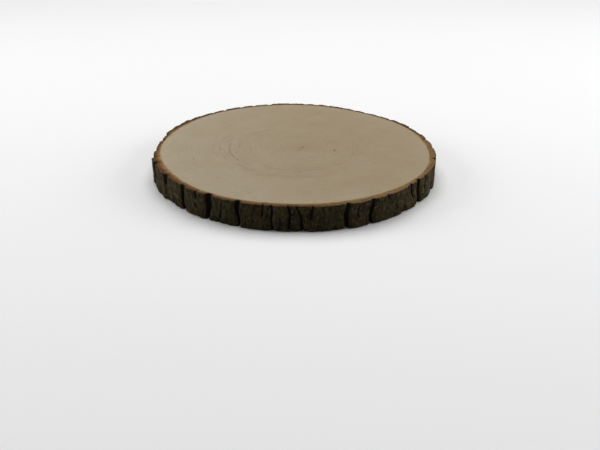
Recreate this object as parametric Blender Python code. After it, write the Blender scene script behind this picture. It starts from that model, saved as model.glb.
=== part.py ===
"""A wood slice: one round cut straight across a trunk, sawn flat on both faces, its bark still on.

Units are metres and +Z is up. The origin is the middle of the underside, and the slice lies flat.
Angles go round it counter-clockwise from +X, in degrees, so -90 is the front.
"""

import math
import random
from dataclasses import dataclass

import bmesh
import bpy
import numpy as np
from mathutils import Vector, noise

MM = 0.001
NODE = "wood_slice"

# Driving dimensions
SLICE_THICK = 24 * MM
WOOD_RADIUS = 133.4 * MM
BARK_THICK = 6.6 * MM

# The trunk isn't a true circle: times round, how far it swells, and towards which angle
TRUNK_SWELLS = (
    (1, 0.3 * MM, 203),
    (2, 2.5 * MM, -46),
    (3, 0.6 * MM, -12),
    (5, 0.4 * MM, 29),
    (7, 0.5 * MM, -23),
)
HEART = Vector((8 * MM, 1.5 * MM, 0))

# The bark is thicker on one side of the trunk than on the other
BARK_UNEVEN = 1.0 * MM
BARK_THICKEST = -120
LEAST_BARK = 1.6 * MM

# The shape of a furrow and of the plates on both sides of it
WALL_SHARE = 0.56
END_FADE = 0.14
SHOULDER_DROP = 1.0 * MM
SHOULDER_REACH = 2.5 * MM
MEANDER = 0.3
MEANDER_TURNS = 1.1
MEANDER_PHASE = 37
LUMP_HEIGHT = 0.7 * MM
LUMP_LENGTH = 9 * MM
LUMP_TALLNESS = 2.2

# How finely the surface is divided
ROWS = (0, 0.06, 0.16, 0.28, 0.39, 0.5, 0.61, 0.72, 0.84, 0.94, 1)
PLATE_STEP = 2.8 * MM
THIN_CRACK = 2.6
SEED = 11


@dataclass
class Furrow:
    """A furrow between two bark plates. Angles are in degrees, sizes in millimetres."""

    angle: float  # where it opens at the upper face
    width: float  # from lip to lip at half height
    depth: float
    lean: float = 0.0  # how much further round its foot lies than its top
    flare: float = 1.0  # its width at the upper face over its width at half height
    low: float = -1.0  # where it starts and ends, as a share of the thickness
    high: float = 2.0
    plate: float = 0.0  # how proud the plate after it stands
    scoop: float = 1.0  # its depth at the upper face over its depth at half height


# The furrows on the front half, from the left round to the right
NEAR_FURROWS = [
    Furrow(-163.5, 7.0, 5.0, plate=2.1, scoop=0.82),
    Furrow(-150.0, 3.6, 2.9, lean=1.0, flare=1.5, low=0.62, plate=0.3),
    Furrow(-145.2, 1.8, 1.8, lean=1.6, high=0.66, plate=0.3),
    Furrow(-137.2, 6.4, 4.6, lean=0.7, flare=1.15, plate=0.0, scoop=0.62),
    Furrow(-129.5, 2.4, 2.0, low=0.74, plate=-0.4),
    Furrow(-123.2, 6.6, 5.4, lean=-0.5, flare=1.35, plate=-1.3, scoop=0.96),
    Furrow(-117.2, 1.7, 2.2, lean=-1.3, high=0.62, plate=-0.9),
    Furrow(-111.0, 4.6, 4.6, lean=0.7, flare=1.4, plate=-0.1, scoop=0.93),
    Furrow(-101.3, 1.8, 2.4, low=0.58, plate=-0.3),
    Furrow(-98.0, 2.1, 2.8, lean=0.4, plate=0.1),
    Furrow(-91.8, 2.8, 3.0, lean=0.6, flare=0.7, low=0.12, plate=-0.6),
    Furrow(-88.6, 2.5, 3.0, lean=2.3, plate=-0.5, scoop=0.5),
    Furrow(-82.8, 1.8, 2.0, lean=-1.6, low=0.5, plate=0.3),
    Furrow(-70.4, 4.4, 4.6, lean=-0.7, plate=1.2, scoop=0.68),
    Furrow(-66.4, 1.6, 1.6, low=0.45, high=0.85, plate=1.3),
    Furrow(-60.7, 5.0, 4.6, lean=-0.7, flare=1.25, plate=1.0, scoop=0.5),
    Furrow(-53.4, 1.8, 1.8, lean=-0.4, low=0.76, plate=0.5),
    Furrow(-46.4, 1.6, 1.2, lean=1.0, high=0.3, plate=-0.5),
    Furrow(-40.4, 3.2, 3.4, lean=1.9, low=0.44, plate=-0.7, scoop=0.7),
    Furrow(-35.4, 6.6, 5.4, lean=0.5, plate=-0.7, scoop=0.6),
    Furrow(-30.2, 1.7, 1.6, lean=0.4, low=0.36, plate=-0.4),
    Furrow(-20.5, 2.2, 1.8, lean=-0.6, high=0.4, plate=0.3),
    Furrow(-11.3, 4.4, 3.8, lean=0.8, plate=1.3, scoop=0.74),
]

# The furrows on the far half: the angle, the width, and how proud the plate after it stands
FAR_PLATES = (
    (1.0, 1.8, 1.4),
    (9.8, 4.2, 0.8),
    (17.0, 2.0, -0.2),
    (26.3, 3.0, 1.1),
    (33.0, 2.2, 0.7),
    (38.5, 2.6, -0.6),
    (45.5, 2.0, -0.6),
    (53.8, 3.2, 0.0),
    (60.5, 2.2, 0.8),
    (66.5, 2.6, 1.4),
    (73.5, 3.0, 1.2),
    (79.0, 2.4, 0.7),
    (85.5, 2.2, 1.2),
    (92.5, 2.0, 2.0),
    (101.8, 3.6, 0.5),
    (109.5, 3.2, 0.9),
    (115.3, 3.4, 0.9),
    (124.0, 4.0, 0.5),
    (130.5, 2.6, 0.8),
    (136.5, 2.0, 1.0),
    (143.5, 2.8, 1.8),
    (151.0, 2.2, 1.8),
    (156.5, 2.4, 0.7),
    (163.5, 2.6, -2.0),
    (171.0, 5.0, -2.3),
    (183.5, 2.0, 0.0),
    (190.0, 3.4, 2.6),
)


# What is drawn at random for each furrow on the far half: its least and most, or the choices
FAR_DEPTH_TO_WIDTH = (0.75, 1.1)
FAR_SCOOP = (0.6, 1.0)
FAR_LEAN = (-1.5, 1.5)
FAR_FLARE = (0.6, 1.1)
FAR_LOW = (-1, -1, -1, 0.3, 0.5)
FAR_HIGH = 2.0


def far_furrows():
    """The far side's furrows have about the same spread of depths and leans as the near side's."""
    draw = random.Random(SEED)
    furrows = []
    for angle, width, plate in FAR_PLATES:
        depth = draw.uniform(*FAR_DEPTH_TO_WIDTH) * width
        lean = draw.uniform(*FAR_LEAN)
        flare = draw.uniform(*FAR_FLARE)
        low = draw.choice(FAR_LOW)
        scoop = draw.uniform(*FAR_SCOOP)
        furrows.append(Furrow(angle, width, depth, lean, flare, low, FAR_HIGH, plate, scoop))
    return furrows


FURROWS = NEAR_FURROWS + far_furrows()


def smooth(share):
    """Eases from 0 to 1, flat at both ends."""
    share = np.clip(share, 0, 1)
    return share * share * (3 - 2 * share)


def wood_radius(angle):
    """The edge of the wood, where the bark begins, at an angle in radians."""
    swells = (
        swell * np.cos(times * (angle - math.radians(towards)))
        for times, swell, towards in TRUNK_SWELLS
    )
    return WOOD_RADIUS + sum(swells)


def bark_thickness(angle):
    """The bark's own thickness before it is furrowed."""
    return BARK_THICK + BARK_UNEVEN * np.cos(angle - math.radians(BARK_THICKEST))


def presence(furrow, height):
    """How much of a furrow is there at a height, from 0 to 1, where the height is a share too."""
    below = smooth((height - furrow.low + END_FADE / 2) / END_FADE)
    above = smooth((furrow.high - height + END_FADE / 2) / END_FADE)
    return float(below * above)


def lips(height):
    """The angles of both lips of each furrow at a height, in radians, and the first again."""
    angles = []
    for furrow in FURROWS:
        turn = 2 * math.pi * (MEANDER_TURNS * height + furrow.angle / MEANDER_PHASE)
        centre = furrow.angle + furrow.lean * (1 - height) + MEANDER * math.sin(turn)
        width = furrow.width * (1 + (furrow.flare - 1) * (2 * height - 1))
        half = width * MM / 2 / (WOOD_RADIUS + BARK_THICK)
        angles += [math.radians(centre) - half, math.radians(centre) + half]
    return angles + [angles[0] + 2 * math.pi]


def outward(station, height):
    """The direction from the middle to a station at a height, and its angle.

    Stations count lips: from an even one to the next lies a furrow, and from an odd one a plate.
    """
    edges = lips(height)
    angle = float(np.interp(station, range(len(edges)), edges))
    return Vector((math.cos(angle), math.sin(angle), 0)), angle


def furrow_depth(furrow, height):
    """How deep a furrow is at a height, in metres."""
    return furrow.depth * MM * (1 + (furrow.scoop - 1) * (2 * height - 1))


def rise_of_bark(station, height):
    """How far the bark stands above its own even thickness, in metres, or below it in a furrow."""
    lip = int(station)
    across = station - lip
    here = FURROWS[lip // 2]
    rise = here.plate * MM
    if lip % 2 == 0:
        open_share = presence(here, height)
        before = FURROWS[lip // 2 - 1].plate * MM
        wall = smooth((1 - abs(2 * across - 1)) / WALL_SHARE)
        rise = before + (rise - before) * smooth(across)
        rise -= open_share * (SHOULDER_DROP + (furrow_depth(here, height) - SHOULDER_DROP) * wall)
    else:
        after = FURROWS[(lip // 2 + 1) % len(FURROWS)]
        edges = lips(height)
        span = (edges[lip + 1] - edges[lip]) * WOOD_RADIUS
        near = presence(here, height) * math.exp(-across * span / SHOULDER_REACH)
        far = presence(after, height) * math.exp(-(1 - across) * span / SHOULDER_REACH)
        rise -= SHOULDER_DROP * (near + far)
    return rise


def bark_point(station, height):
    """A point of the bark's outside, with low lumps that are taller than they are wide."""
    around, angle = outward(station, height)
    base = wood_radius(angle)
    spot = around * (base / LUMP_LENGTH)
    spot.z = height * SLICE_THICK / LUMP_LENGTH / LUMP_TALLNESS
    rise = rise_of_bark(station, height) + LUMP_HEIGHT * noise.noise(spot)
    radius = max(base + bark_thickness(angle) + rise, base + LEAST_BARK)
    return around * radius + Vector((0, 0, height * SLICE_THICK))


def wood_point(station, height):
    """A point of the line between the wood and the bark on a sawn face."""
    around, angle = outward(station, height)
    return around * wood_radius(angle) + Vector((0, 0, height * SLICE_THICK))


def planned_stations():
    """Where the surface is divided: at the lips and floor of each furrow, and evenly over each plate."""
    floor = WALL_SHARE / 2
    edges = lips(0.5)
    stations = []
    for index, furrow in enumerate(FURROWS):
        left = 2 * index
        inner = [0.5] if furrow.width < THIN_CRACK else [floor, 1 - floor]
        stations += [left] + [left + share for share in inner] + [left + 1]
        span = (edges[left + 2] - edges[left + 1]) * WOOD_RADIUS
        parts = max(2, round(span / PLATE_STEP))
        stations += [left + 1 + part / parts for part in range(1, parts)]
    return stations


def turned_blank(columns):
    """A closed disc, made by turning half of a cross-section once round. Each point keeps the
    number of its row: 0 for the heart, 1 for the edge of the wood, and from 2 up the bark."""
    bm = bmesh.new()
    row = bm.verts.layers.int.new("row")
    radius = WOOD_RADIUS + BARK_THICK
    section = [(0, 0, 0), (WOOD_RADIUS, 0, 1)]
    section += [(radius, height * SLICE_THICK, 2 + k) for k, height in enumerate(ROWS)]
    section += [(WOOD_RADIUS, SLICE_THICK, 1), (0, SLICE_THICK, 0)]
    points = []
    for x, z, number in section:
        point = bm.verts.new((x, 0, z))
        point[row] = number
        points.append(point)
    edges = [bm.edges.new(pair) for pair in zip(points, points[1:])]
    bmesh.ops.spin(
        bm,
        geom=points + edges,
        cent=(0, 0, 0),
        axis=(0, 0, 1),
        dvec=(0, 0, 0),
        angle=2 * math.pi,
        steps=columns,
        use_merge=True,
    )
    bmesh.ops.remove_doubles(bm, verts=bm.verts, dist=0.001 * MM)
    bmesh.ops.recalc_face_normals(bm, faces=bm.faces)
    return bm, row


def shape_blank(bm, row, stations):
    """Moves each point of the turned disc to its place on the wood's edge or on the bark."""
    step = 2 * math.pi / len(stations)
    for point in bm.verts:
        number = point[row]
        if number == 0:
            point.co += HEART
            continue
        column = round(math.atan2(point.co.y, point.co.x) / step) % len(stations)
        if number == 1:
            point.co = wood_point(stations[column], round(point.co.z / SLICE_THICK))
        else:
            point.co = bark_point(stations[column], ROWS[number - 2])


def centre_on_origin(bm):
    """Slides the slice so that the middle of its box stands on the origin."""
    places = np.array([point.co for point in bm.verts])
    middle = (places.min(axis=0) + places.max(axis=0)) / 2
    bmesh.ops.translate(bm, verts=bm.verts, vec=(-middle[0], -middle[1], 0))


def paint(bm, row):
    """The sawn wood takes the first material, and the bark, sawn or not, the second."""
    for face in bm.faces:
        is_wood = any(point[row] == 0 for point in face.verts)
        face.material_index = 0 if is_wood else 1
        face.smooth = not is_wood


def material(name, colour, roughness):
    made = bpy.data.materials.new(name)
    made.use_nodes = True
    shader = made.node_tree.nodes["Principled BSDF"]
    shader.inputs["Base Color"].default_value = (*colour, 1)
    shader.inputs["Roughness"].default_value = roughness
    shader.inputs["Metallic"].default_value = 0
    return made


def make_slice():
    stations = planned_stations()
    bm, row = turned_blank(len(stations))
    shape_blank(bm, row, stations)
    centre_on_origin(bm)
    paint(bm, row)
    bmesh.ops.triangulate(bm, faces=bm.faces)
    mesh = bpy.data.meshes.new(NODE)
    bm.to_mesh(mesh)
    bm.free()
    mesh.materials.append(material("sawn_wood", (0.40, 0.33, 0.215), 0.75))
    mesh.materials.append(material("bark", (0.035, 0.028, 0.014), 0.95))
    mesh.set_sharp_from_angle(angle=math.radians(50))
    piece = bpy.data.objects.new(NODE, mesh)
    bpy.context.scene.collection.objects.link(piece)
    return piece


for leftover in list(bpy.data.objects):
    bpy.data.objects.remove(leftover)

make_slice()
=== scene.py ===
# %% [markdown]
# # A wood slice with its bark on
# The part is one round, cut straight across a trunk. The plain solid already has its outline, its
# thickness and its furrows. This lesson makes the two finished surfaces that cover it: the sawn wood
# with its growth rings, and the ring of bark. They follow the same numbers as the solid, only finer.

# %% Load the frame
import math
import random
from dataclasses import dataclass

import bmesh
import bpy
import numpy as np
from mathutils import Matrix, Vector, noise


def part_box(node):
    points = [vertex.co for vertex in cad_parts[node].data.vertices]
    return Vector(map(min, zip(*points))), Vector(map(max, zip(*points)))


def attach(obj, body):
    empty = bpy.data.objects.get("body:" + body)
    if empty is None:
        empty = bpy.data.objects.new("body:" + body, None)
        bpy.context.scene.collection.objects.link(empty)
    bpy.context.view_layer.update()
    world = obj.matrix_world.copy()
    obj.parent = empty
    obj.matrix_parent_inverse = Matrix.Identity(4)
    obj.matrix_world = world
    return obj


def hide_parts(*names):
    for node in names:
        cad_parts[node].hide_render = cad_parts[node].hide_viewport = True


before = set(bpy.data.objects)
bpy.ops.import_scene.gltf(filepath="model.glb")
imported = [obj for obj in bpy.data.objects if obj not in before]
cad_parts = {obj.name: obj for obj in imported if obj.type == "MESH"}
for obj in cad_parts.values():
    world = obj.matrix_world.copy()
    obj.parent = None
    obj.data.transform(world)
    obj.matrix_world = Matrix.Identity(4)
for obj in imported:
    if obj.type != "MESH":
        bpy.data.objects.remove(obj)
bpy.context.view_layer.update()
low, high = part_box("wood_slice")
MM = 0.001
THICK = high.z - low.z
print(f"the solid is {(high.x - low.x) / MM:.1f} mm across and {THICK / MM:.1f} mm thick")

# %% [markdown]
# ## The trunk's outline
# A trunk is never a true circle. It could be traced point by point, but a few slow swells added to a
# circle give the same line with five short rows, and they can be read: how often each swell repeats
# on the way round, how far it reaches, and which way it points.

# %% The edge of the wood and the bark's thickness
WOOD_RADIUS = 133.4 * MM
TRUNK_SWELLS = (
    (1, 0.3 * MM, 203),
    (2, 2.5 * MM, -46),
    (3, 0.6 * MM, -12),
    (5, 0.4 * MM, 29),
    (7, 0.5 * MM, -23),
)
HEART = Vector((8 * MM, 1.5 * MM, 0))
# The frame starts in the middle of the solid's box, which lies this far from the trunk's own middle
SLIDE = Vector((-0.42 * MM, -0.59 * MM, 0))
BARK_THICK = 6.6 * MM
BARK_UNEVEN = 1.0 * MM
BARK_THICKEST = -120
LEAST_BARK = 1.6 * MM


def wood_radius(angle):
    """The edge of the wood, where the bark begins, at angles in radians."""
    swells = (
        swell * np.cos(times * (angle - math.radians(towards)))
        for times, swell, towards in TRUNK_SWELLS
    )
    return WOOD_RADIUS + sum(swells)


def bark_thickness(angle):
    """The bark's own thickness before it is furrowed."""
    return BARK_THICK + BARK_UNEVEN * np.cos(angle - math.radians(BARK_THICKEST))


turn = np.linspace(0, 2 * math.pi, 360)
print(f"wood from {wood_radius(turn).min() / MM:.1f} to {wood_radius(turn).max() / MM:.1f} mm in radius")
print(f"bark from {bark_thickness(turn).min() / MM:.1f} to {bark_thickness(turn).max() / MM:.1f} mm thick")

# %% [markdown]
# ## The furrows
# As a trunk grows thicker its bark splits into plates, and the furrows between them are what the eye
# reads as bark. Each one gets a row with its place, width, depth and lean, because on the near side
# they can all be seen. The far side's are drawn at random with the same spread, from a fixed seed.


# %% One row for each furrow
@dataclass
class Furrow:
    """A furrow between two bark plates. Angles are in degrees, sizes in millimetres."""

    angle: float  # where it opens at the upper face
    width: float  # from lip to lip at half height
    depth: float
    lean: float = 0.0  # how much further round its foot lies than its top
    flare: float = 1.0  # its width at the upper face over its width at half height
    low: float = -1.0  # where it starts and ends, as a share of the thickness
    high: float = 2.0
    plate: float = 0.0  # how proud the plate after it stands
    scoop: float = 1.0  # its depth at the upper face over its depth at half height


NEAR_FURROWS = [
    Furrow(-163.5, 7.0, 5.0, plate=2.1, scoop=0.82),
    Furrow(-150.0, 3.6, 2.9, lean=1.0, flare=1.5, low=0.62, plate=0.3),
    Furrow(-145.2, 1.8, 1.8, lean=1.6, high=0.66, plate=0.3),
    Furrow(-137.2, 6.4, 4.6, lean=0.7, flare=1.15, plate=0.0, scoop=0.62),
    Furrow(-129.5, 2.4, 2.0, low=0.74, plate=-0.4),
    Furrow(-123.2, 6.6, 5.4, lean=-0.5, flare=1.35, plate=-1.3, scoop=0.96),
    Furrow(-117.2, 1.7, 2.2, lean=-1.3, high=0.62, plate=-0.9),
    Furrow(-111.0, 4.6, 4.6, lean=0.7, flare=1.4, plate=-0.1, scoop=0.93),
    Furrow(-101.3, 1.8, 2.4, low=0.58, plate=-0.3),
    Furrow(-98.0, 2.1, 2.8, lean=0.4, plate=0.1),
    Furrow(-91.8, 2.8, 3.0, lean=0.6, flare=0.7, low=0.12, plate=-0.6),
    Furrow(-88.6, 2.5, 3.0, lean=2.3, plate=-0.5, scoop=0.5),
    Furrow(-82.8, 1.8, 2.0, lean=-1.6, low=0.5, plate=0.3),
    Furrow(-70.4, 4.4, 4.6, lean=-0.7, plate=1.2, scoop=0.68),
    Furrow(-66.4, 1.6, 1.6, low=0.45, high=0.85, plate=1.3),
    Furrow(-60.7, 5.0, 4.6, lean=-0.7, flare=1.25, plate=1.0, scoop=0.5),
    Furrow(-53.4, 1.8, 1.8, lean=-0.4, low=0.76, plate=0.5),
    Furrow(-46.4, 1.6, 1.2, lean=1.0, high=0.3, plate=-0.5),
    Furrow(-40.4, 3.2, 3.4, lean=1.9, low=0.44, plate=-0.7, scoop=0.7),
    Furrow(-35.4, 6.6, 5.4, lean=0.5, plate=-0.7, scoop=0.6),
    Furrow(-30.2, 1.7, 1.6, lean=0.4, low=0.36, plate=-0.4),
    Furrow(-20.5, 2.2, 1.8, lean=-0.6, high=0.4, plate=0.3),
    Furrow(-11.3, 4.4, 3.8, lean=0.8, plate=1.3, scoop=0.74),
]
FAR_PLATES = (
    (1.0, 1.8, 1.4),
    (9.8, 4.2, 0.8),
    (17.0, 2.0, -0.2),
    (26.3, 3.0, 1.1),
    (33.0, 2.2, 0.7),
    (38.5, 2.6, -0.6),
    (45.5, 2.0, -0.6),
    (53.8, 3.2, 0.0),
    (60.5, 2.2, 0.8),
    (66.5, 2.6, 1.4),
    (73.5, 3.0, 1.2),
    (79.0, 2.4, 0.7),
    (85.5, 2.2, 1.2),
    (92.5, 2.0, 2.0),
    (101.8, 3.6, 0.5),
    (109.5, 3.2, 0.9),
    (115.3, 3.4, 0.9),
    (124.0, 4.0, 0.5),
    (130.5, 2.6, 0.8),
    (136.5, 2.0, 1.0),
    (143.5, 2.8, 1.8),
    (151.0, 2.2, 1.8),
    (156.5, 2.4, 0.7),
    (163.5, 2.6, -2.0),
    (171.0, 5.0, -2.3),
    (183.5, 2.0, 0.0),
    (190.0, 3.4, 2.6),
)
FAR_DEPTH_TO_WIDTH = (0.75, 1.1)
FAR_SCOOP = (0.6, 1.0)
FAR_LEAN = (-1.5, 1.5)
FAR_FLARE = (0.6, 1.1)
FAR_LOW = (-1, -1, -1, 0.3, 0.5)
FAR_HIGH = 2.0
SEED = 11


def far_furrows():
    """Draws the far furrows in the same order as the solid does, so that they match it."""
    draw = random.Random(SEED)
    furrows = []
    for angle, width, plate in FAR_PLATES:
        depth = draw.uniform(*FAR_DEPTH_TO_WIDTH) * width
        lean = draw.uniform(*FAR_LEAN)
        flare = draw.uniform(*FAR_FLARE)
        low_end = draw.choice(FAR_LOW)
        scoop = draw.uniform(*FAR_SCOOP)
        furrows.append(Furrow(angle, width, depth, lean, flare, low_end, FAR_HIGH, plate, scoop))
    return furrows


FURROWS = NEAR_FURROWS + far_furrows()
print(f"{len(FURROWS)} furrows, the deepest {max(f.depth for f in FURROWS)} mm")

# %% [markdown]
# ## The bark's relief
# A column of the bark keeps to its furrow or plate all the way up, so a leaning furrow stays crisp
# even where the mesh is coarse. Places round the slice are therefore counted in lips: between an even
# lip and the next lies a furrow, and between an odd one and the next a plate.

# %% Where the lips lie, and how far the bark rises or falls
WALL_SHARE = 0.56
END_FADE = 0.14
SHOULDER_DROP = 1.0 * MM
SHOULDER_REACH = 2.5 * MM
MEANDER = 0.3
MEANDER_TURNS = 1.1
MEANDER_PHASE = 37
LUMP_HEIGHT = 0.7 * MM
LUMP_LENGTH = 9 * MM
LUMP_TALLNESS = 2.2


def smooth(share):
    """Eases from 0 to 1, flat at both ends."""
    share = np.clip(share, 0, 1)
    return share * share * (3 - 2 * share)


def lips(height):
    """The angles of both lips of each furrow at a height, in radians, and the first again."""
    angles = []
    for furrow in FURROWS:
        phase = 2 * math.pi * (MEANDER_TURNS * height + furrow.angle / MEANDER_PHASE)
        centre = furrow.angle + furrow.lean * (1 - height) + MEANDER * math.sin(phase)
        width = furrow.width * (1 + (furrow.flare - 1) * (2 * height - 1))
        half = width * MM / 2 / (WOOD_RADIUS + BARK_THICK)
        angles += [math.radians(centre) - half, math.radians(centre) + half]
    return np.array(angles + [angles[0] + 2 * math.pi])


def presences(height):
    """How much of each furrow is there at a height, from 0 to 1."""
    lows = np.array([furrow.low for furrow in FURROWS])
    highs = np.array([furrow.high for furrow in FURROWS])
    below = smooth((height - lows + END_FADE / 2) / END_FADE)
    above = smooth((highs - height + END_FADE / 2) / END_FADE)
    return below * above


def furrow_depth(furrow, height):
    """How deep a furrow is at a height, in metres."""
    return furrow.depth * MM * (1 + (furrow.scoop - 1) * (2 * height - 1))


def relief(stations, height):
    """For places round the slice at one height: the rise in metres, and how deep in a furrow, 0 to 1."""
    edges = lips(height)
    there = presences(height)
    plates = np.array([furrow.plate for furrow in FURROWS]) * MM
    depths = np.array([furrow_depth(furrow, height) for furrow in FURROWS])
    lip = stations.astype(int)
    across = stations - lip
    here = lip // 2
    after = (here + 1) % len(FURROWS)
    wall = smooth((1 - abs(2 * across - 1)) / WALL_SHARE)
    in_furrow = plates[here - 1] + (plates[here] - plates[here - 1]) * smooth(across)
    in_furrow -= there[here] * (SHOULDER_DROP + (depths[here] - SHOULDER_DROP) * wall)
    span = (edges[lip + 1] - edges[lip]) * WOOD_RADIUS
    near = there[here] * np.exp(-across * span / SHOULDER_REACH)
    far = there[after] * np.exp(-(1 - across) * span / SHOULDER_REACH)
    on_plate = plates[here] - SHOULDER_DROP * (near + far)
    is_furrow = lip % 2 == 0
    return np.where(is_furrow, in_furrow, on_plate), np.where(is_furrow, wall * there[here], 0)


middle_rise, _ = relief(np.linspace(0, 2 * len(FURROWS) - 0.01, 2000), 0.5)
print(f"at half height the bark goes from {middle_rise.min() / MM:.1f} to {middle_rise.max() / MM:.1f} mm")

# %% [markdown]
# ## Turning a blank
# Both pieces are round, so each starts as half of a cross-section that is spun once round the middle,
# as on a lathe. A spin gets slow when it has many steps, so it makes a coarse round first, and the
# edges that run round it are then cut into shorter ones. Every point remembers which point of the
# section it came from, and its angle tells the column, so each can be moved to its true place.

# %% Spin a section into a closed body, then move its points
SPIN_STEPS = 200
SHARP_ANGLE = 55


def moved(bm, number, columns, places, layers):
    """Moves point k of the section in column c to places[k, c], and sets its attributes."""
    step = 2 * math.pi / columns
    for point in bm.verts:
        column = round(math.atan2(point.co.y, point.co.x) / step) % columns
        index = point[number]
        for layer, values in layers:
            point[layer] = values[index, column]
        point.co = Vector(places[index, column]) + SLIDE


def turned(section, columns, places, values, name):
    """Spins a section, given as radius and height, and fits it to the places of its points.

    A section that starts and ends on the axis closes there, and any other is closed into a ring.
    Each named row of values becomes an attribute that the materials can read.
    """
    bm = bmesh.new()
    number = bm.verts.layers.int.new("number")
    layers = [(bm.verts.layers.float.new(key), value) for key, value in values.items()]
    points = [bm.verts.new((radius, 0, up)) for radius, up in section]
    for index, point in enumerate(points):
        point[number] = index
    edges = [bm.edges.new(pair) for pair in zip(points, points[1:])]
    if section[0][0] > 0:
        edges.append(bm.edges.new((points[-1], points[0])))
    bmesh.ops.spin(
        bm,
        geom=points + edges,
        cent=(0, 0, 0),
        axis=(0, 0, 1),
        dvec=(0, 0, 0),
        angle=2 * math.pi,
        steps=SPIN_STEPS,
        use_merge=True,
    )
    bmesh.ops.remove_doubles(bm, verts=bm.verts, dist=0.001 * MM)
    rounds = [edge for edge in bm.edges if edge.verts[0][number] == edge.verts[1][number]]
    cuts = columns // SPIN_STEPS - 1
    bmesh.ops.subdivide_edges(bm, edges=rounds, cuts=cuts, use_grid_fill=True)
    bmesh.ops.recalc_face_normals(bm, faces=bm.faces)
    moved(bm, number, columns, places, layers)
    mesh = bpy.data.meshes.new(name)
    bm.to_mesh(mesh)
    bm.free()
    mesh.attributes.remove(mesh.attributes["number"])
    mesh.shade_smooth()
    mesh.set_sharp_from_angle(angle=math.radians(SHARP_ANGLE))
    piece = bpy.data.objects.new(name, mesh)
    bpy.context.scene.collection.objects.link(piece)
    print(f"{name}: {len(mesh.vertices)} points, {len(mesh.polygons)} faces")
    return piece


# %% [markdown]
# ## The sawn wood
# The wood is a flat disc with crisp sawn edges. Growth rings don't run round the middle of the slice
# but round the heart of the trunk, which lies off to one side, and they take on the outline's shape
# as they near the bark. So the disc's own rings of points are laid in that way, and each point keeps
# its share of the way out from the heart. The rings are painted from that share later.

# %% Make the wood
WOOD_COLUMNS = 2 * SPIN_STEPS
WOOD_SHARES = [0, 0.02, 0.06, 0.12, 0.2, 0.3, 0.4, 0.5, 0.6, 0.7, 0.8, 0.88, 0.94, 0.98, 1]
UNDER_BARK = 0.3 * MM


def make_wood():
    angles = np.arange(WOOD_COLUMNS) * 2 * math.pi / WOOD_COLUMNS
    edge = np.stack([np.cos(angles), np.sin(angles), 0 * angles], axis=-1)
    edge *= wood_radius(angles)[:, None]
    shares = np.array(WOOD_SHARES + WOOD_SHARES[::-1])
    heights = np.repeat([0, THICK], len(WOOD_SHARES))
    places = np.array(HEART) * (1 - shares)[:, None, None] + edge * shares[:, None, None]
    places[:, :, 2] = heights[:, None]
    section = list(zip(shares * WOOD_RADIUS, heights))
    growth = np.repeat(shares[:, None], WOOD_COLUMNS, axis=1)
    return turned(section, WOOD_COLUMNS, places, {"growth": growth}, "sawn_wood")


wood = make_wood()

# %% [markdown]
# ## The ring of bark
# Between its furrows real bark is scaly and split by hair cracks. That could be left to a bump in the
# material, but then the outline against the light would stay smooth, so the larger scales and cracks
# are moved points. The sawn edge of the bark is softer than the wood: it is a little rough, and its
# outer corner is broken away here and there.

# %% Scales and hair cracks
SCALE_HEIGHT = 0.4 * MM
SCALE_LENGTH = 3.2 * MM
SCALE_TALLNESS = 2.0
SCALE_FADE = 0.7
SCALE_FINENESS = 2.1
SCALE_LAYERS = 3
CRACK_DEPTH = 0.55 * MM
CRACK_LENGTH = 5 * MM
CRACK_TALLNESS = 4.0
CRACK_WIDTH = 0.09


def fine_relief(spot):
    """Scales and hair cracks at a point, in metres."""
    tall = Vector((spot.x, spot.y, spot.z / SCALE_TALLNESS)) / SCALE_LENGTH
    scales = noise.fractal(tall, SCALE_FADE, SCALE_FINENESS, SCALE_LAYERS)
    slim = Vector((spot.x, spot.y, spot.z / CRACK_TALLNESS)) / CRACK_LENGTH
    line = 1 - min(abs(noise.noise(slim)) / CRACK_WIDTH, 1)
    return SCALE_HEIGHT * scales - CRACK_DEPTH * line


sample = [fine_relief(Vector((WOOD_RADIUS, step * MM, 0))) / MM for step in range(100)]
print(f"fine relief from {min(sample):.2f} to {max(sample):.2f} mm on a stretch of 100 mm")

# %% [markdown]
# The bark's mesh has one column for each short step round the slice and one row for each short step
# up. Each row is placed by the relief at its own height, and the lumps and the fine relief come on
# top. A column keeps its station, so it bends with the furrow or plate that it belongs to.

# %% The rows of the outside
BARK_COLUMNS = 8 * SPIN_STEPS
BARK_ROWS = 44


def angles_at(stations, height):
    """The angles at a height of places counted in lips."""
    edges = lips(height)
    return np.interp(stations, np.arange(len(edges)), edges)


def place_outside(places, values, stations, first):
    """Places the rows of the bark's outside, from the foot to the upper rim."""
    for row, height in enumerate(np.linspace(0, 1, BARK_ROWS), start=first):
        angles = angles_at(stations, height)
        rise, furrow = relief(stations, height)
        base = wood_radius(angles)
        around = np.stack([np.cos(angles), np.sin(angles)], axis=-1)
        z = height * THICK
        for column in range(BARK_COLUMNS):
            x, y = around[column] * base[column]
            lump = noise.noise(Vector((x, y, z / LUMP_TALLNESS)) / LUMP_LENGTH)
            fine = fine_relief(Vector((x, y, z)))
            rise[column] += LUMP_HEIGHT * lump + fine
            values["fine"][row, column] = fine / MM
        radius = np.maximum(base + bark_thickness(angles) + rise, base + LEAST_BARK)
        places[row, :, :2] = around * radius[:, None]
        places[row, :, 2] = z
        values["outward"][row] = 1
        values["furrow"][row] = furrow


print(f"the bark gets {BARK_COLUMNS} columns and {BARK_ROWS} rows")

# %% [markdown]
# The saw leaves the cut edge of the bark a little rough, because cork crumbles where wood is cut
# clean. The outer corner has broken away here and there, and more so at the foot, where the slice is
# set down. Both are moved points, so the edge also looks broken in outline.

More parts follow.
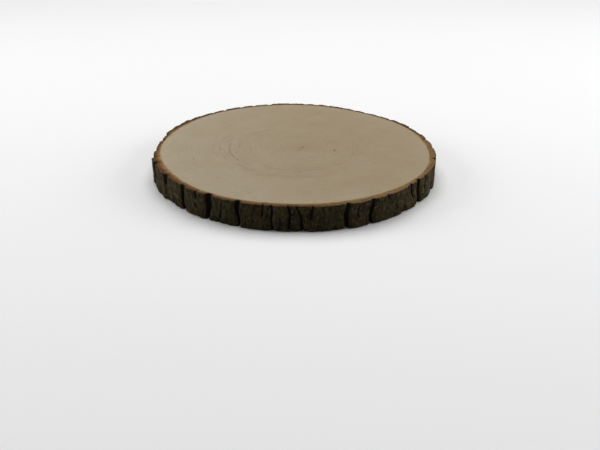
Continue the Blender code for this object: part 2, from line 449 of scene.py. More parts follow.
# %% The rows of a sawn edge
CUT_SHARES = np.array([0, 0.2, 0.42, 0.64, 0.84])
CUT_ROUGHNESS = 0.12 * MM
ROUGH_LENGTH = 1.3 * MM
SMOOTH_PART = 0.25
CORNER_DROP = 0.35 * MM
LEAST_BROKEN = 0.2
BROKEN_SPREAD = 1.5
BROKEN_LENGTH = 3 * MM
FOOT_CHIP = 2.2 * MM
CHIP_LENGTH = 11 * MM


def place_sawn_edge(places, values, stations, level, rim, first, shares):
    """Places the rows of one sawn face, at level 0 or 1, and breaks its outer corner, the row rim."""
    into = 1 if level == 0 else -1
    angles = angles_at(stations, level)
    inner = wood_radius(angles) - UNDER_BARK
    inner = np.stack([np.cos(angles) * inner, np.sin(angles) * inner], axis=-1)
    for row, share in enumerate(shares, start=first):
        places[row, :, :2] = inner + (places[rim, :, :2] - inner) * share
        values["outward"][row] = share
        for column in range(BARK_COLUMNS):
            spot = Vector(places[row, column]) / ROUGH_LENGTH
            rough = (1 + noise.noise(spot)) / 2 * CUT_ROUGHNESS * min(1, share / SMOOTH_PART)
            places[row, column, 2] = level * THICK + into * rough
    for column in range(BARK_COLUMNS):
        corner = Vector(places[rim, column])
        broken = max(LEAST_BROKEN, 1 + BROKEN_SPREAD * noise.noise(corner / BROKEN_LENGTH))
        chipped = FOOT_CHIP * max(0, noise.noise(corner / CHIP_LENGTH)) * (1 - level)
        places[rim, column, 2] = level * THICK + into * (CORNER_DROP * broken + chipped)


print(f"the outer corner is broken by {CORNER_DROP / MM} mm, and chipped by up to {FOOT_CHIP / MM} mm")

# %% [markdown]
# The rows are now put in one order, up the outside and back over both sawn edges, and the ring is
# turned like the wood. Its inner side reaches a hair under the bark line, so no gap shows there.

# %% Make the bark
BARK_VALUES = ("outward", "furrow", "fine")


def make_bark():
    even = np.linspace(0, 2 * math.pi, BARK_COLUMNS, endpoint=False)
    edges = lips(0.5)
    stations = np.interp(edges[0] + even, edges, np.arange(len(edges)))
    first = len(CUT_SHARES)
    last = first + BARK_ROWS - 1
    rows = last + 1 + len(CUT_SHARES)
    places = np.zeros((rows, BARK_COLUMNS, 3))
    values = {key: np.zeros((rows, BARK_COLUMNS)) for key in BARK_VALUES}
    place_outside(places, values, stations, first)
    place_sawn_edge(places, values, stations, 0, first, 0, CUT_SHARES)
    place_sawn_edge(places, values, stations, 1, last, last + 1, CUT_SHARES[::-1])
    section = [(WOOD_RADIUS + share * BARK_THICK, 0) for share in CUT_SHARES]
    section += [(WOOD_RADIUS + BARK_THICK, height * THICK) for height in np.linspace(0, 1, BARK_ROWS)]
    section += [(WOOD_RADIUS + share * BARK_THICK, THICK) for share in CUT_SHARES[::-1]]
    return turned(section, BARK_COLUMNS, places, values, "bark")


bark = make_bark()

# %% [markdown]
# ## Helpers for the materials
# A material is a net of small nodes. A few short helpers keep its code readable: they add a node and
# join or set its inputs by name, do sums, mix colours and map one range of values to another.


# %% Node helpers
def join(tree, socket, value):
    """Sets an input to a number or colour, or joins it to another node's output."""
    if isinstance(value, bpy.types.NodeSocket):
        tree.links.new(value, socket)
    elif socket.type == "RGBA":
        socket.default_value = (*value, 1)
    else:
        socket.default_value = value


def add(tree, kind, inputs, output=0, **settings):
    """Adds a node, sets it up and gives one of its outputs."""
    made = tree.nodes.new("ShaderNode" + kind)
    for key, value in settings.items():
        setattr(made, key, value)
    for key, value in inputs.items():
        join(tree, made.inputs[key], value)
    return made.outputs[output]


def sums(tree, operation, *values):
    """Reckons with numbers."""
    return add(tree, "Math", dict(enumerate(values)), operation=operation)


def mixed(tree, share, first, second, blend="MIX"):
    """Mixes two colours."""
    inputs = {0: share, 6: first, 7: second}
    return add(tree, "Mix", inputs, 2, data_type="RGBA", blend_type=blend)


def mapped(tree, value, start, end, to_start=0.0, to_end=1.0):
    """Maps a value from one range to another, eased at both ends."""
    inputs = {"Value": value, "From Min": start, "From Max": end, "To Min": to_start, "To Max": to_end}
    return add(tree, "MapRange", inputs, interpolation_type="SMOOTHSTEP")


def linear(red, green, blue):
    """A colour as a screen shows it, from 0 to 255, as the amounts of light that nodes need."""
    shares = (channel / 255 for channel in (red, green, blue))
    return tuple(((share + 0.055) / 1.055) ** 2.4 for share in shares)


def new_group(name, inputs, outputs):
    """An empty node group with named number, colour and vector sockets."""
    group = bpy.data.node_groups.new(name, "ShaderNodeTree")
    for side, sockets in (("INPUT", inputs), ("OUTPUT", outputs)):
        for label, kind in sockets:
            group.interface.new_socket(label, in_out=side, socket_type="NodeSocket" + kind)
    given = group.nodes.new("NodeGroupInput").outputs
    result = group.nodes.new("NodeGroupOutput").inputs
    return group, given, result


print("a middle grey on the screen is", round(linear(128, 128, 128)[0], 3), "as light")

# %% [markdown]
# ## Mottling
# No natural surface has one flat colour. The wood, the cut bark and the outer bark all need soft
# patches at some size, taller or wider than they are deep, so one group makes them from a noise in
# the object's own space and each material places it with its own size, stretch and contrast.


# %% The mottling group
def mottle_group():
    inputs = [("Position", "Vector"), ("Size mm", "Float"), ("Tallness", "Float")]
    inputs += [("Detail", "Float"), ("Contrast", "Float"), ("Seed", "Float")]
    group, given, result = new_group("Mottling", inputs, [("Value", "Float")])
    tall = sums(group, "DIVIDE", 1.0, given["Tallness"])
    scaling = add(group, "CombineXYZ", {"X": 1.0, "Y": 1.0, "Z": tall})
    flattened = add(group, "VectorMath", {0: given["Position"], 1: scaling}, operation="MULTIPLY")
    per_metre = sums(group, "DIVIDE", 1000.0, given["Size mm"])
    pattern = {"Vector": flattened, "W": given["Seed"], "Scale": per_metre, "Detail": given["Detail"]}
    cloud = add(group, "TexNoise", pattern, noise_dimensions="4D")
    centred = sums(group, "SUBTRACT", cloud, 0.5)
    spread = sums(group, "MULTIPLY_ADD", centred, given["Contrast"], 0.5)
    join(group, result["Value"], add(group, "Clamp", {"Value": spread}))
    return group


MOTTLING = mottle_group()
print(f"the mottling group has {len(MOTTLING.nodes)} nodes")


def mottle(tree, position, size, tallness=1.0, detail=2.0, contrast=3.0, seed=0.0):
    """Places the mottling group in a material and gives its value, from 0 to 1."""
    made = tree.nodes.new("ShaderNodeGroup")
    made.node_tree = MOTTLING
    given = {"Position": position, "Size mm": size, "Tallness": tallness}
    given |= {"Detail": detail, "Contrast": contrast, "Seed": seed}
    for key, value in given.items():
        join(tree, made.inputs[key], value)
    return made.outputs["Value"]


# %% [markdown]
# ## The wood's finish
# Pale sawn wood isn't plain: a thin dark line closes each year's growth, some years are darker than
# others, and each line fades in and out on its way round. The lines could be circles in a wave
# texture, but they would then ignore the slice's outline and the heart. So the line's place is
# reckoned from the share of the way out that every point of the mesh carries.

# %% Colours of the wood, and ways to find a place on it
WOOD_WARM = linear(160, 144, 119)
WOOD_PALE = linear(168, 155, 132)
WOOD_TAN = linear(155, 138, 110)
RING_BROWN = linear(122, 104, 80)
MARK_BROWN = linear(84, 66, 44)
HEART_BROWN = linear(144, 126, 94)
RINGS = 50.0


def new_material(name):
    """A new material, its node tree and its shader."""
    material = bpy.data.materials.new(name)
    material.use_nodes = True
    tree = material.node_tree
    return material, tree, tree.nodes["Principled BSDF"]


def vector_sum(tree, operation, *values, output=0):
    """Reckons with vectors."""
    return add(tree, "VectorMath", dict(enumerate(values)), output, operation=operation)


def from_heart(tree, spot):
    """The flat direction from the heart to a point, as a vector of length 1."""
    away = vector_sum(tree, "SUBTRACT", spot, tuple(HEART))
    flat = vector_sum(tree, "MULTIPLY", away, (1, 1, 0))
    return vector_sum(tree, "NORMALIZE", flat)


def facing(tree, direction, towards, start, end):
    """Fades in over angles from start to end degrees off a bearing round the heart."""
    bearing = (math.cos(math.radians(towards)), math.sin(math.radians(towards)), 0)
    along = vector_sum(tree, "DOT_PRODUCT", direction, bearing, output=1)
    return mapped(tree, along, math.cos(math.radians(start)), math.cos(math.radians(end)))


print(f"a ring is {WOOD_RADIUS / RINGS / MM:.1f} mm wide on average")

# %% [markdown]
# A year's ring has two parts: pale wood that grew fast in spring, and a narrow dark line that grew
# slowly until autumn. The counted rings give a number that rises by one from year to year. Its
# fraction draws the line, and its whole part picks that year's darkness.


# %% The growth rings
GROWTH_SPREAD = 5.0
GROWTH_WAVES = 11.0
SLOW_WANDER = 1.1
SLOW_SIZE = 55
QUICK_WANDER = 0.5
QUICK_SIZE = 9
LINE_START = 0.2
LINE_PEAK = 0.85
FAINTEST_YEAR = 0.45
PLAIN_LINE = 0.3
OUTER_LINE = 0.4
YEAR_STEP = 3.7


def year_count(tree, spot, growth):
    """The number of years from the heart to a point: unevenly spread, and wandering a little."""
    slow = mottle(tree, spot, SLOW_SIZE, contrast=2, seed=3)
    quick = mottle(tree, spot, QUICK_SIZE, contrast=1, seed=4)
    waves = {"W": growth, "Scale": GROWTH_WAVES, "Detail": 2.0}
    spread = add(tree, "TexNoise", waves, noise_dimensions="1D")
    years = sums(tree, "MULTIPLY", growth, RINGS)
    years = sums(tree, "MULTIPLY_ADD", spread, GROWTH_SPREAD, years)
    years = sums(tree, "MULTIPLY_ADD", slow, SLOW_WANDER, years)
    return sums(tree, "MULTIPLY_ADD", quick, QUICK_WANDER, years)


def ring_lines(tree, spot, growth, direction, dashes):
    """How dark the growth line is, from 0 to 1."""
    years = year_count(tree, spot, growth)
    part = sums(tree, "FRACT", years)
    year = sums(tree, "FLOOR", years)
    rising = mapped(tree, part, LINE_START, LINE_PEAK)
    line = sums(tree, "MULTIPLY", rising, mapped(tree, part, LINE_PEAK, 1.0, 1.0, 0.0))
    darkness = add(tree, "TexWhiteNoise", {"W": year}, noise_dimensions="1D")
    darkness = mapped(tree, darkness, 0.0, 1.0, FAINTEST_YEAR, 1.0)
    own_place = sums(tree, "MULTIPLY", year, YEAR_STEP)
    own = {"Vector": direction, "W": own_place, "Scale": 1.8, "Detail": 1.0}
    cloud = add(tree, "TexNoise", own, noise_dimensions="4D")
    fading = mapped(tree, cloud, 0.35, 0.65, 0.35, 1.0)
    outer = mapped(tree, growth, 0.5, 0.72, 1.0, OUTER_LINE)
    shown = sums(tree, "MULTIPLY", line, darkness)
    shown = sums(tree, "MULTIPLY", shown, fading)
    broken = sums(tree, "MULTIPLY_ADD", dashes, 1 - PLAIN_LINE, PLAIN_LINE)
    shown = sums(tree, "MULTIPLY", shown, broken)
    return sums(tree, "MULTIPLY", shown, outer)


def ring_dashes(tree, growth, direction, along, out, seed):
    """Short dashes along the rings, so many in a radian and so many from the heart to the edge."""
    way = vector_sum(tree, "MULTIPLY", direction, (along, along, 0))
    depth = sums(tree, "MULTIPLY_ADD", growth, out, seed)
    pattern = {"Vector": way, "W": depth, "Scale": 1.0, "Detail": 2.0}
    cloud = add(tree, "TexNoise", pattern, noise_dimensions="4D")
    return mapped(tree, cloud, 0.42, 0.68)


print(f"a growth line is darkest at {LINE_PEAK} of its year")

# %% [markdown]
# A few years stand out, where frost, drought or a crowded stand held the tree back. They show as
# dark arcs on one side only, and as a broad zone of dark dashes. A row for each arc says how far out
# it lies, where it faces, how many degrees it reaches and how dark it is.

# %% The hard years
HARD_YEARS = (
    (0.518, 190, 24, 1.6),
    (0.588, 174, 14, 0.5),
    (0.507, 212, 16, 0.45),
    (0.556, 236, 26, 0.55),
    (0.585, 246, 22, 0.4),
    (0.56, 262, 20, 0.5),
    (0.41, -12, 26, 0.6),
    (0.412, 280, 22, 0.65),
    (0.428, 302, 14, 0.5),
    (0.79, 197, 9, 0.5),
)
ARC_HALF_WIDTH = 0.008
ARC_CORE = 0.001
FULL_PART = 0.4
ZONE_FACES = 218
ZONE_STRENGTH = 0.4
ARC_DASH = 0.65


def dark_year(tree, growth, direction, share, towards, spread):
    """One ring that stands out on one side, where the tree had a hard year."""
    off = sums(tree, "ABSOLUTE", sums(tree, "SUBTRACT", growth, share))
    line = mapped(tree, off, ARC_HALF_WIDTH, ARC_CORE)
    return sums(tree, "MULTIPLY", line, facing(tree, direction, towards, spread, spread * FULL_PART))


def hard_growth(tree, growth, direction):
    """The broad zone of years, on the left and front, in which the wood is full of dark dashes."""
    begins = mapped(tree, growth, 0.3, 0.45)
    zone = sums(tree, "MULTIPLY", begins, mapped(tree, growth, 0.66, 0.56))
    return sums(tree, "MULTIPLY", zone, facing(tree, direction, ZONE_FACES, 100, 35))


def all_lines(tree, spot, growth, direction):
    """The growth lines with the zone of dashes and the hard years' arcs, from 0 to 1."""
    dashes = ring_dashes(tree, growth, direction, 6.0, 50.0, 0.0)
    lines = ring_lines(tree, spot, growth, direction, dashes)
    zone = sums(tree, "MULTIPLY", hard_growth(tree, growth, direction), ZONE_STRENGTH)
    dashes = ring_dashes(tree, growth, direction, 7.0, 62.0, 30.0)
    lines = sums(tree, "MULTIPLY_ADD", dashes, zone, lines)
    dashes = ring_dashes(tree, growth, direction, 11.0, 8.0, 60.0)
    broken = sums(tree, "MULTIPLY_ADD", dashes, ARC_DASH, 1 - ARC_DASH)
    for share, towards, spread, strength in HARD_YEARS:
        year = dark_year(tree, growth, direction, share, towards, spread)
        year = sums(tree, "MULTIPLY", year, broken)
        lines = sums(tree, "MULTIPLY_ADD", year, strength, lines)
    return add(tree, "Clamp", {"Value": lines})


print(f"{len(HARD_YEARS)} dark arcs, {2 * ARC_HALF_WIDTH * WOOD_RADIUS / MM:.1f} mm wide")

# %% [markdown]
# The small marks are the pith, a pin knot and a few specks. Each is a soft blot that fades with the
# distance from its middle, stretched along one way and broken up a little by the mottling.


# %% A small dark mark
MARKS = (
    ((8.3, 1.1), (4.6, 4.4), 0, 0.6),
    ((8.3, 0.9), (2.4, 2.2), 0, 0.6),
    ((5.9, -4.4), (7.0, 3.0), 60, 0.4),
    ((40.2, -7.4), (3.0, 6.0), 4, 0.95),
    ((-65.2, 9.5), (3.0, 3.0), 0, 0.4),
    ((-97.8, -31.0), (2.0, 5.0), 15, 0.45),
    ((-70.1, -76.6), (2.2, 3.2), 0, 0.35),
    ((-39.6, -109.8), (2.4, 3.4), 0, 0.35),
    ((75.7, -106.0), (2.6, 3.4), 0, 0.3),
    ((-75.7, 75.7), (2.6, 4.0), 0, 0.25),
    ((88.0, 69.1), (2.4, 4.0), 0, 0.25),
    ((-123.8, 5.7), (1.8, 3.2), 0, 0.3),
)
HALO_PLACE = (9, -1)
HALOS = (((44, 40), 0.3), ((20, 20), 0.35))
MARK_RAGGED = 0.6
MARK_RAGGED_SIZE = 1.5


def mark(tree, spot, place, size, turn=0.0):
    """A blot at a place, with a length and a width in millimetres, turned in degrees."""
    moved_spot = vector_sum(tree, "SUBTRACT", spot, (place[0] * MM, place[1] * MM, 0))
    flat = vector_sum(tree, "MULTIPLY", moved_spot, (1, 1, 0))
    turned_back = {"Vector": flat, "Angle": -math.radians(turn)}
    straight = add(tree, "VectorRotate", turned_back, rotation_type="Z_AXIS")
    scaled = vector_sum(tree, "DIVIDE", straight, (size[0] * MM / 2, size[1] * MM / 2, 1))
    distance = vector_sum(tree, "LENGTH", scaled, output=1)
    ragged = mottle(tree, spot, MARK_RAGGED_SIZE, contrast=2, seed=12)
    rough = sums(tree, "MULTIPLY_ADD", ragged, MARK_RAGGED, distance)
    return mapped(tree, rough, 1.5, 0.3)


def marked(tree, spot, colour):
    """The colour with the brown halos round the heart and the small dark marks."""
    for size, strength in HALOS:
        halo = mark(tree, spot, HALO_PLACE, size)
        colour = mixed(tree, sums(tree, "MULTIPLY", halo, strength), colour, HEART_BROWN)
    for place, size, turn, strength in MARKS:
        blot = mark(tree, spot, place, size, turn)
        colour = mixed(tree, sums(tree, "MULTIPLY", blot, strength), colour, MARK_BROWN)
    return colour


print(f"{len(MARKS)} marks and {len(HALOS)} halos")

# %% [markdown]
# Under its rings the wood is warm and tan towards the right and paler towards the left front, and
# paler again near the bark, where it was still alive. Slow changes like these are easy to overdo, so
# they mix three close colours. The sawn surface adds fine pores and rays that run out from the heart.

# %% The wood's material
PALE_WAY = (0.97, 0.24, 0)
PALE_FROM = 75 * MM
PALE_TO = -130 * MM
PALE_OUTSIDE = 0.25
PALE_SIDE = 0.75
CLOUD_SIZE = 30
CLOUD_SHARE = 0.3
WARM_SIZE = 18
WARM_SHARE = 0.35
RING_STRENGTH = 0.6
RAYS_ROUND = 85
RAYS_OUT = 9.0
PORE_SIZE = 1.1
BLOT_SIZE = 3.2
PORE_SHARE = 0.09
BLOT_SHARE = 0.05
RAY_SHARE = 0.03
GRAIN_LEVEL = 0.915
WOOD_ROUGHNESS = (0.68, 0.8)
WOOD_SHINE = 0.3
WOOD_RELIEF = 0.1 * MM


def wood_colour(tree, spot, growth):
    """The wood without its rings and marks: warm inside, paler outside and on one side."""
    clouds = mottle(tree, spot, CLOUD_SIZE, contrast=3.5, detail=2, seed=1)
    outside = mapped(tree, growth, 0.8, 1.0)
    across = vector_sum(tree, "DOT_PRODUCT", spot, PALE_WAY, output=1)
    pale_side = sums(tree, "MULTIPLY", mapped(tree, across, PALE_FROM, PALE_TO), PALE_SIDE)
    pale = sums(tree, "MULTIPLY_ADD", outside, PALE_OUTSIDE, pale_side)
    pale = sums(tree, "SUBTRACT", pale, CLOUD_SHARE / 2)
    pale = sums(tree, "MULTIPLY_ADD", clouds, CLOUD_SHARE, pale)
    colour = mixed(tree, pale, WOOD_TAN, WOOD_PALE)
    warmth = mottle(tree, spot, WARM_SIZE, contrast=5, detail=3, seed=2)
    return mixed(tree, sums(tree, "MULTIPLY", warmth, WARM_SHARE), colour, WOOD_WARM)


def ray_pattern(tree, growth, direction):
    """Fine rays that run out from the heart, from 0 to 1."""
    along = vector_sum(tree, "MULTIPLY", direction, (RAYS_ROUND, RAYS_ROUND, 0))
    out = sums(tree, "MULTIPLY", growth, RAYS_OUT)
    ray = {"Vector": along, "W": out, "Scale": 1.0, "Detail": 1.0}
    return mapped(tree, add(tree, "TexNoise", ray, noise_dimensions="4D"), 0.3, 0.7)


def wood_material():
    material, tree, shader = new_material("sawn_wood")
    spot = vector_sum(tree, "SUBTRACT", add(tree, "TexCoord", {}, "Object"), tuple(SLIDE))
    growth = add(tree, "Attribute", {}, "Fac", attribute_name="growth")
    direction = from_heart(tree, spot)
    lines = all_lines(tree, spot, growth, direction)
    colour = wood_colour(tree, spot, growth)
    colour = mixed(tree, sums(tree, "MULTIPLY", lines, RING_STRENGTH), colour, RING_BROWN)
    colour = marked(tree, spot, colour)
    rays = ray_pattern(tree, growth, direction)
    pores = mottle(tree, spot, PORE_SIZE, contrast=3, detail=2, seed=9)
    blots = mottle(tree, spot, BLOT_SIZE, contrast=3, detail=2, seed=16)
    grain = sums(tree, "MULTIPLY_ADD", rays, RAY_SHARE, sums(tree, "MULTIPLY", pores, PORE_SHARE))
    grain = sums(tree, "MULTIPLY_ADD", blots, BLOT_SHARE, grain)
    colour = vector_sum(tree, "MULTIPLY", colour, sums(tree, "ADD", grain, GRAIN_LEVEL))
    join(tree, shader.inputs["Base Color"], colour)
    join(tree, shader.inputs["Roughness"], mapped(tree, pores, 0.0, 1.0, *WOOD_ROUGHNESS))
    shader.inputs["Specular IOR Level"].default_value = WOOD_SHINE
    height = sums(tree, "MULTIPLY_ADD", lines, -0.6, sums(tree, "ADD", pores, rays))
    bump = add(tree, "Bump", {"Height": height, "Strength": 0.25, "Distance": WOOD_RELIEF})
    join(tree, shader.inputs["Normal"], bump)
    print(f"the wood's material has {len(tree.nodes)} nodes")
    return material


wood.data.materials.append(wood_material())

# %% [markdown]
# ## The cut bark
# Where the saw went through, the bark shows its layers: pale and tan inside, next to the wood, then
# reddish brown, and dark cork at the outside. The layers are thin sheets, some of them parted by
# dark gaps. The mesh carries how far out each point of the cut lies, so the layers follow the rim.

# %% The colours of the cut bark
LAYER_COLOURS = (
    (0.0, linear(156, 136, 103)),
    (0.13, linear(147, 121, 84)),
    (0.27, linear(137, 107, 69)),
    (0.4, linear(125, 94, 56)),
    (0.53, linear(110, 79, 43)),
    (0.67, linear(98, 68, 33)),
    (0.82, linear(84, 58, 28)),
    (0.93, linear(60, 41, 19)),
    (1.0, linear(30, 21, 9)),
)
LAYER_RED = linear(104, 60, 30)
LAYER_TAN = linear(128, 101, 68)
LAYER_DARK = linear(44, 31, 15)
BARK_DEEP = linear(15, 11, 4)
SHEET_WANDER = 0.16
RED_SHARE = 0.3
TAN_FACES = -28
TAN_SHARE = 0.65
DARK_FACES = 84
DARK_SHARE = 0.9
SHEETS = 9.0
PARTED = ((0.3, 0.07, 31), (0.6, 0.09, 32))
PARTED_SHARE = 0.6
FLECK_SIZE = 1.3


def ramp(tree, value, colours):
    """A run of colours along a value."""
    made = tree.nodes.new("ShaderNodeValToRGB")
    stops = made.color_ramp.elements
    while len(stops) < len(colours):
        stops.new(1)
    for stop, (place, shade) in zip(stops, colours):
        stop.position = place
        stop.color = (*shade, 1)
    join(tree, made.inputs[0], value)
    return made.outputs[0]


def parted_sheets(tree, spot, across, share, width, seed):
    """A dark gap between two sheets, at a share of the way out, that comes and goes."""
    off = sums(tree, "ABSOLUTE", sums(tree, "SUBTRACT", across, share))
    line = mapped(tree, off, width, width * 0.3)
    here = mapped(tree, mottle(tree, spot, 16, contrast=5, detail=2, seed=seed), 0.62, 0.85)
    return sums(tree, "MULTIPLY", line, here)


def layers_colour(tree, spot, outward, direction):
    """The bark's layers from the wood outwards, paler on one side of the slice and darker behind."""
    wander = mottle(tree, spot, 5, contrast=3, detail=3, seed=8)
    across = sums(tree, "SUBTRACT", outward, SHEET_WANDER / 2)
    across = sums(tree, "MULTIPLY_ADD", wander, SHEET_WANDER, across)
    colour = ramp(tree, across, LAYER_COLOURS)
    red = mapped(tree, mottle(tree, spot, 9, contrast=4, detail=2, seed=10), 0.5, 0.9)
    red = sums(tree, "MULTIPLY", red, mapped(tree, across, 0.2, 0.5))
    colour = mixed(tree, sums(tree, "MULTIPLY", red, RED_SHARE), colour, LAYER_RED)
    pale_side = facing(tree, direction, TAN_FACES, 62, 25)
    pale_side = sums(tree, "MULTIPLY", pale_side, mapped(tree, across, 0.3, 0.5))
    colour = mixed(tree, sums(tree, "MULTIPLY", pale_side, TAN_SHARE), colour, LAYER_TAN)
    dark_side = facing(tree, direction, DARK_FACES, 85, 50)
    dark_side = sums(tree, "MULTIPLY", dark_side, mapped(tree, across, 0.25, 0.65))
    colour = mixed(tree, sums(tree, "MULTIPLY", dark_side, DARK_SHARE), colour, LAYER_DARK)
    colour = mixed(tree, mapped(tree, across, 0.9, 1.05), colour, BARK_DEEP)
    sheet = {"W": sums(tree, "MULTIPLY", across, SHEETS), "Scale": 1.0, "Detail": 2.0}
    sheets = mapped(tree, add(tree, "TexNoise", sheet, noise_dimensions="1D"), 0.3, 0.7, 0.85, 1.1)
    colour = vector_sum(tree, "MULTIPLY", colour, sheets)
    for share, width, seed in PARTED:
        gap = parted_sheets(tree, spot, across, share, width, seed)
        colour = mixed(tree, sums(tree, "MULTIPLY", gap, PARTED_SHARE), colour, BARK_DEEP)
    flecks = mottle(tree, spot, FLECK_SIZE, contrast=3, detail=2, seed=14)
    return vector_sum(tree, "MULTIPLY", colour, mapped(tree, flecks, 0.0, 1.0, 0.86, 1.14))


print(f"{len(LAYER_COLOURS)} colours from the wood outwards, and {len(PARTED)} parted sheets")

# %% [markdown]
# ## The outer bark
# The weathered outside is dull brown cork with a thin greenish growth on it, paler on the plates. Painted
# shade makes it nearly black in the furrows, and darker in the cracks and on the front of the slice.

# %% The bark's material
BARK_BROWN = linear(50, 39, 15)
BARK_OLIVE = linear(56, 50, 21)
BARK_GREY = linear(82, 74, 42)
BARK_RUST = linear(64, 43, 16)
PATCH_SIZE = 10
RUST_SIZE = 8
RUST_SHARE = 0.5
GREY_SIZE = 2.6
GREY_SHARE = 0.6
SPECK_SIZE = 1.7
SPECK_SHARE = 0.6
CRACK_SHADE_SHARE = 0.85
FURROW_EDGE = 0.4
FURROW_SHARE = 0.96
FRONT_SHADE_FACES = -92
FRONT_SHADE_SHARE = 0.3
BARK_ROUGHNESS = 0.9
BARK_SHINE = 0.2
GRAIN_SIZE = 1.2
GRAIN_HEIGHT = 0.4 * MM


def outside_colour(tree, spot, furrow, fine, direction):
    """The weathered outside: patches, rust, grey growth, specks, and painted shade, darker in the cracks
    and scale hollows, nearly black in the furrows and darker on the front.
    """
    patches = mottle(tree, spot, PATCH_SIZE, tallness=1.3, contrast=4, detail=2, seed=5)
    colour = mixed(tree, patches, BARK_BROWN, BARK_OLIVE)
    rust = mottle(tree, spot, RUST_SIZE, tallness=1.5, contrast=4, detail=2, seed=15)
    rust = mapped(tree, rust, 0.6, 0.95)
    colour = mixed(tree, sums(tree, "MULTIPLY", rust, RUST_SHARE), colour, BARK_RUST)
    grey = mottle(tree, spot, GREY_SIZE, tallness=1.4, contrast=5, detail=3, seed=7)
    grey = mapped(tree, grey, 0.5, 0.95)
    colour = mixed(tree, sums(tree, "MULTIPLY", grey, GREY_SHARE), colour, BARK_GREY)
    specks = mottle(tree, spot, SPECK_SIZE, tallness=1.8, contrast=6, detail=3, seed=6)
    colour = mixed(tree, mapped(tree, specks, 0.5, 0.0, 0.0, SPECK_SHARE), colour, BARK_DEEP)
    # painted shade: the cracks and the hollows between scales are darkened by their depth
    colour = mixed(tree, mapped(tree, fine, -0.1, -0.5, 0.0, CRACK_SHADE_SHARE), colour, BARK_DEEP)
    # painted shade: the furrows are darkened towards black from their lips inwards
    shadow = mapped(tree, furrow, 0.0, FURROW_EDGE, 0.0, FURROW_SHARE)
    colour = mixed(tree, shadow, colour, BARK_DEEP)
    # painted shade: the front of the bark, turned away from the lamps, is darkened in its colour
    front_shade = facing(tree, direction, FRONT_SHADE_FACES, 62, 15)
    light = sums(tree, "MULTIPLY_ADD", front_shade, -FRONT_SHADE_SHARE, 1.0)
    return vector_sum(tree, "MULTIPLY", colour, light)


def bark_material():
    material, tree, shader = new_material("bark")
    spot = add(tree, "TexCoord", {}, "Object")
    outward, furrow, fine = (
        add(tree, "Attribute", {}, "Fac", attribute_name=name) for name in BARK_VALUES
    )
    is_outside = mapped(tree, outward, 0.9, 1.0)
    direction = from_heart(tree, spot)
    cut = layers_colour(tree, spot, outward, direction)
    outside = outside_colour(tree, spot, furrow, fine, direction)
    join(tree, shader.inputs["Base Color"], mixed(tree, is_outside, cut, outside))
    shader.inputs["Roughness"].default_value = BARK_ROUGHNESS
    shader.inputs["Specular IOR Level"].default_value = BARK_SHINE
    grain = mottle(tree, spot, GRAIN_SIZE, tallness=2, contrast=3, detail=3, seed=9)
    bump = add(tree, "Bump", {"Height": grain, "Strength": 0.5, "Distance": GRAIN_HEIGHT})
    join(tree, shader.inputs["Normal"], bump)
    print(f"the bark's material has {len(tree.nodes)} nodes")
    return material


bark.data.materials.append(bark_material())

# %% [markdown]
# ## Tie the pieces to the frame
# The two finished pieces have to move with the part and stand in for its plain solid. They could be
# parented by hand, but the frame already knows its bodies. So each piece names the body it rides on,
# and the solid it replaces is hidden. Nothing moves here, so both ride on the root.

# %% Ride on the root and hide the solid
for piece, slot_name in ((wood, "wood"), (bark, "bark")):
    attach(piece, "root")
    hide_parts("wood_slice")
    print(f"{piece.name} rides on the root body and fills the slot {slot_name}")

# %% [markdown]
# ## The floor
# A slice lies flat on something, and its soft shadow is what sets it down. A plain pale floor shows
# that shadow and takes nothing from the wood's colour. It is much wider than the slice, so that its
# edge stays out of sight, and it lies a hair lower, so that the two faces don't flicker.

# %% The floor
FLOOR_HALF = 6
FLOOR_DROP = 0.2 * MM
FLOOR_WHITE = (0.95, 0.95, 0.95, 1)

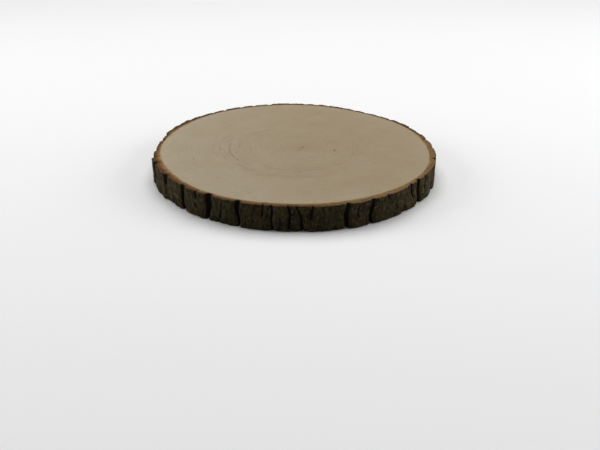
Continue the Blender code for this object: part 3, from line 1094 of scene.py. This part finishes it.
bm = bmesh.new()
bmesh.ops.create_grid(bm, x_segments=1, y_segments=1, size=FLOOR_HALF)
bmesh.ops.translate(bm, verts=bm.verts, vec=(0, 0, -FLOOR_DROP))
floor_mesh = bpy.data.meshes.new("floor")
bm.to_mesh(floor_mesh)
bm.free()
floor = bpy.data.objects.new("floor", floor_mesh)
bpy.context.scene.collection.objects.link(floor)
floor_material, floor_tree, floor_shader = new_material("pale_floor")
floor_shader.inputs["Base Color"].default_value = FLOOR_WHITE
floor_shader.inputs["Roughness"].default_value = 0.9
floor_shader.inputs["Specular IOR Level"].default_value = 0.1
floor_mesh.materials.append(floor_material)
print(f"the floor is {2 * FLOOR_HALF} m wide")

# %% [markdown]
# ## The light
# The picture was lit softly from all sides, mostly from above. One small lamp would draw hard black
# shadows in the furrows, so three soft boxes do it: a large one overhead, a little behind, and one at
# each side to graze the bark. A weak even light from all round fills what they leave dark.

# %% The lights
AIR_LIGHT = 0.12
SOFT_BOXES = (
    ("overhead", (0, 0.6, 1.6), 1.6, 21),
    ("left", (-1.6, 0.1, 0.7), 1.0, 12),
    ("right", (1.6, 0.1, 0.7), 1.0, 14),
)

world = bpy.data.worlds.new("studio")
bpy.context.scene.world = world
world.use_nodes = True
world.node_tree.nodes["Background"].inputs["Color"].default_value = (1, 1, 1, 1)
world.node_tree.nodes["Background"].inputs["Strength"].default_value = AIR_LIGHT


def soft_light(name, place, size, power):
    """A square soft box that faces the slice."""
    data = bpy.data.lights.new(name, "AREA")
    data.shape = "SQUARE"
    data.size = size
    data.energy = power
    light = bpy.data.objects.new(name, data)
    light.location = place
    light.rotation_euler = (-Vector(place)).to_track_quat("-Z", "Y").to_euler()
    bpy.context.scene.collection.objects.link(light)


for name, place, size, power in SOFT_BOXES:
    soft_light(name, place, size, power)
    print(f"soft box {name}: {size} m square, {power} W")

# %% [markdown]
# ## The camera
# The picture was taken from in front and above. How much flatter the far rim looks than the near one
# tells how far away and how high the camera stood. It looks straight ahead, tilted down, without any
# roll, because the uprights of the bark stand upright.

# %% The camera
CAMERA_PLACE = Vector((5.7 * MM, -785.1 * MM, 329.2 * MM))
CAMERA_TILT_DOWN = 26.553
LENS = 50
SENSOR_WIDTH = 36

camera_data = bpy.data.cameras.new("camera")
camera_data.lens = LENS
camera_data.sensor_width = SENSOR_WIDTH
camera = bpy.data.objects.new("camera", camera_data)
camera.location = CAMERA_PLACE + SLIDE
camera.rotation_euler = (math.radians(90 - CAMERA_TILT_DOWN), 0, 0)
bpy.context.scene.collection.objects.link(camera)
bpy.context.scene.camera = camera
bpy.context.scene.view_settings.view_transform = "Standard"
print(f"the camera stands {camera.location.length:.2f} m away")
